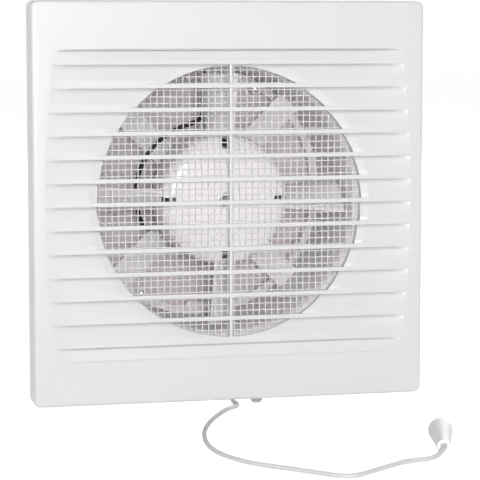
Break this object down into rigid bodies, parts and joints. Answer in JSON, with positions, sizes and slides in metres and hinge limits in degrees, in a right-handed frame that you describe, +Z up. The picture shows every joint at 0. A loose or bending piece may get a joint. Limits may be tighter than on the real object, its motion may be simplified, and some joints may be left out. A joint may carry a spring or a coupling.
{
  "type": "window exhaust fan",
  "caption": "Square louvred exhaust fan with insect net, motor-driven axial impeller in a short round spigot, backdraught shutter leaves and a pull-cord switch with a tapered knob",
  "frame": {"origin": "on the floor under the middle of the box round the fan without its pull cord and knob; the fan stands upright on its front cover's lower edge, and its lowest point is the head of the cover screw", "axes": "+X to the right as seen from the room, +Y from the room through the wall or window towards the duct, +Z up"},
  "size_m": [0.18, 0.2407, 0.183],
  "materials": {
    "white": "satin moulded",
    "impeller": "smooth moulded",
    "net": "matt",
    "frame": "matt",
    "leaf": "matt",
    "switch_grey": "matt",
    "knob": "satin moulded",
    "cord": "braided",
    "black": "matt",
    "screw": "zinc plated",
    "steel": "ground",
    "laminations": "stacked sheet steel",
    "zinc": "die cast",
    "copper": "enamelled winding wire"
  },
  "bodies": {
    "root": {"front_cover": "white", "insect_net": "net", "base_housing": "white", "motor_front_shell": "zinc", "motor_rear_shell": "zinc", "stator_stack": "laminations", "coil_upper": "copper", "coil_lower": "copper", "front_bearing": "steel", "rear_bearing": "steel", "motor_bolt_left": "screw", "motor_bolt_right": "screw", "motor_lead": "black", "switch_lead": "black", "terminal_block": "switch_grey", "terminal_screw_left": "screw", "terminal_screw_middle": "screw", "terminal_screw_right": "screw", "cable_grommet": "black", "cable_clamp": "switch_grey", "clamp_screw_left": "screw", "clamp_screw_right": "screw", "switch_body": "switch_grey", "switch_lid": "switch_grey", "plunger_spring": "steel", "switch_screw_upper": "screw", "switch_screw_lower": "screw", "cover_screw": "screw", "cord_guide": "white", "pull_cord": "cord", "pull_knob": "knob", "shutter_ring": "frame", "ring_screw_1": "screw", "ring_screw_2": "screw", "ring_screw_3": "screw", "ring_screw_4": "screw", "shutter_pin": "steel"},
    "rotor": {"impeller": "impeller", "impeller_clip": "steel", "motor_shaft": "steel", "rotor_core": "laminations"},
    "leaf_right": {"leaf_right": "leaf", "leaf_spring_right": "steel"},
    "leaf_left": {"leaf_left": "leaf", "leaf_spring_left": "steel"},
    "plunger": {"switch_plunger": "white"}
  },
  "joints": [
    {"name": "rotor_spin", "type": "hinge", "parent": "root", "child": "rotor", "pos_m": [0, 0, 0.093], "axis": [0, 1, 0], "continuous": true},
    {"name": "leaf_right_swing", "type": "hinge", "parent": "root", "child": "leaf_right", "pos_m": [0, 0.0363, 0.093], "axis": [0, 0, 1], "range_deg": [0, 75], "stiffness_Nm_per_rad": 0.0012, "springref_deg": -40.11},
    {"name": "leaf_left_swing", "type": "hinge", "parent": "root", "child": "leaf_left", "pos_m": [0, 0.0363, 0.093], "axis": [0, 0, -1], "range_deg": [0, 75], "stiffness_Nm_per_rad": 0.0012, "springref_deg": -40.11},
    {"name": "plunger_pull", "type": "slide", "parent": "root", "child": "plunger", "axis": [0, 0, -1], "range_m": [0, 0.004], "stiffness_N_per_m": 400, "springref_m": -0.004, "deforming": ["plunger_spring"]}
  ]
}
